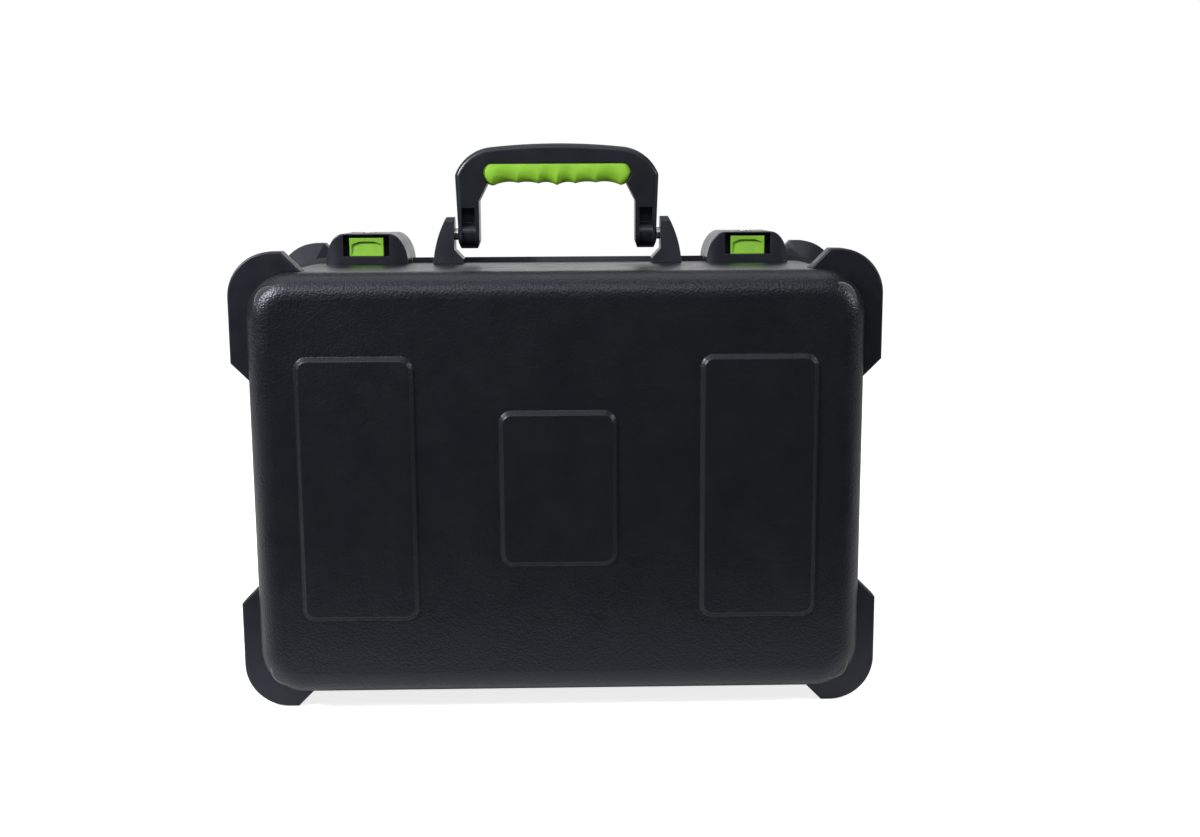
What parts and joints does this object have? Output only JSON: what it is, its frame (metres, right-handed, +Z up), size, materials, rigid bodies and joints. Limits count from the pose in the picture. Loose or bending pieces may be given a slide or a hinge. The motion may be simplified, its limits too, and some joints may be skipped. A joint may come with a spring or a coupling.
{
  "type": "microphone case",
  "caption": "Moulded hard case with corner bumpers, a folding carrying handle, push-button latches, a hinged lid and a foam insert for microphones.",
  "frame": {"origin": "centre of the floor under the corner bumpers, with the case standing upright", "axes": "+Z up, towards the handle; +X along the case's length, to the right of someone facing the base half; +Y from the base half to the lid"},
  "size_m": [0.46, 0.237, 0.4078],
  "materials": {
    "shell_plastic": "satin",
    "bumper_plastic": "satin",
    "rim_aluminium": "satin",
    "seal_rubber": "matte",
    "foam": "matte",
    "latch_plastic": "satin",
    "button_green": "satin",
    "handle_plastic": "satin",
    "grip_green": "satin",
    "steel": "satin",
    "hinge_metal": "satin",
    "lock_chrome": "polished"
  },
  "bodies": {
    "base": {"base_bumper_bottom_left": "bumper_plastic", "base_bumper_bottom_right": "bumper_plastic", "base_bumper_screws": "steel", "base_bumper_top_left": "bumper_plastic", "base_bumper_top_right": "bumper_plastic", "base_foam_block": "foam", "base_foam_floor": "foam", "base_rim": "rim_aluminium", "base_shell": "shell_plastic", "handle_backplate_left": "steel", "handle_backplate_right": "steel", "handle_mount_left": "handle_plastic", "handle_mount_right": "handle_plastic", "handle_mount_screws": "steel", "handle_pivot_pin_left": "steel", "handle_pivot_pin_right": "steel", "hinge_base_leaf_left": "hinge_metal", "hinge_base_leaf_right": "hinge_metal", "hinge_base_rivets": "steel", "hinge_pin_left": "steel", "hinge_pin_right": "steel", "latch_housing_left": "latch_plastic", "latch_housing_right": "latch_plastic", "latch_housing_screws": "steel", "latch_spring_left": "steel", "latch_spring_right": "steel"},
    "lid": {"hinge_lid_leaf_left": "hinge_metal", "hinge_lid_leaf_right": "hinge_metal", "hinge_lid_rivets": "steel", "latch_bracket_left": "latch_plastic", "latch_bracket_right": "latch_plastic", "latch_bracket_screws": "steel", "latch_pin_left": "steel", "latch_pin_right": "steel", "lid_bumper_bottom_left": "bumper_plastic", "lid_bumper_bottom_right": "bumper_plastic", "lid_bumper_screws": "steel", "lid_bumper_top_left": "bumper_plastic", "lid_bumper_top_right": "bumper_plastic", "lid_foam": "foam", "lid_rim": "rim_aluminium", "lid_seal": "seal_rubber", "lid_shell": "shell_plastic"},
    "handle": {"handle_frame": "handle_plastic", "handle_grip": "grip_green"},
    "button_left": {"latch_button_left": "button_green"},
    "hasp_left": {"latch_hasp_left": "latch_plastic"},
    "lock_left": {"lock_cylinder_left": "lock_chrome"},
    "button_right": {"latch_button_right": "button_green"},
    "hasp_right": {"latch_hasp_right": "latch_plastic"},
    "lock_right": {"lock_cylinder_right": "lock_chrome"}
  },
  "joints": [
    {"name": "lid_hinge", "type": "hinge", "parent": "base", "child": "lid", "pos_m": [0, 0.034, 0.008], "axis": [-1, 0, 0], "range_deg": [0, 100]},
    {"name": "handle_hinge", "type": "hinge", "parent": "base", "child": "handle", "pos_m": [0, 0.016, 0.3394], "axis": [1, 0, 0], "range_deg": [0, 95]},
    {"name": "button_press_left", "type": "slide", "parent": "base", "child": "button_left", "axis": [0, 1, 0], "range_m": [0, 0.003], "stiffness_N_per_m": 400, "springref_m": -0.005, "deforming": ["latch_spring_left"]},
    {"name": "hasp_hinge_left", "type": "hinge", "parent": "lid", "child": "hasp_left", "pos_m": [-0.1465, 0.056, 0.3228], "axis": [-1, 0, 0], "range_deg": [0, 80]},
    {"name": "key_turn_left", "type": "hinge", "parent": "hasp_left", "child": "lock_left", "pos_m": [-0.1465, 0.028, 0.3404], "axis": [0, 0, 1], "range_deg": [0, 90]},
    {"name": "button_press_right", "type": "slide", "parent": "base", "child": "button_right", "axis": [0, 1, 0], "range_m": [0, 0.003], "stiffness_N_per_m": 400, "springref_m": -0.005, "deforming": ["latch_spring_right"]},
    {"name": "hasp_hinge_right", "type": "hinge", "parent": "lid", "child": "hasp_right", "pos_m": [0.1465, 0.056, 0.3228], "axis": [-1, 0, 0], "range_deg": [0, 80]},
    {"name": "key_turn_right", "type": "hinge", "parent": "hasp_right", "child": "lock_right", "pos_m": [0.1465, 0.028, 0.3404], "axis": [0, 0, 1], "range_deg": [0, 90]}
  ]
}
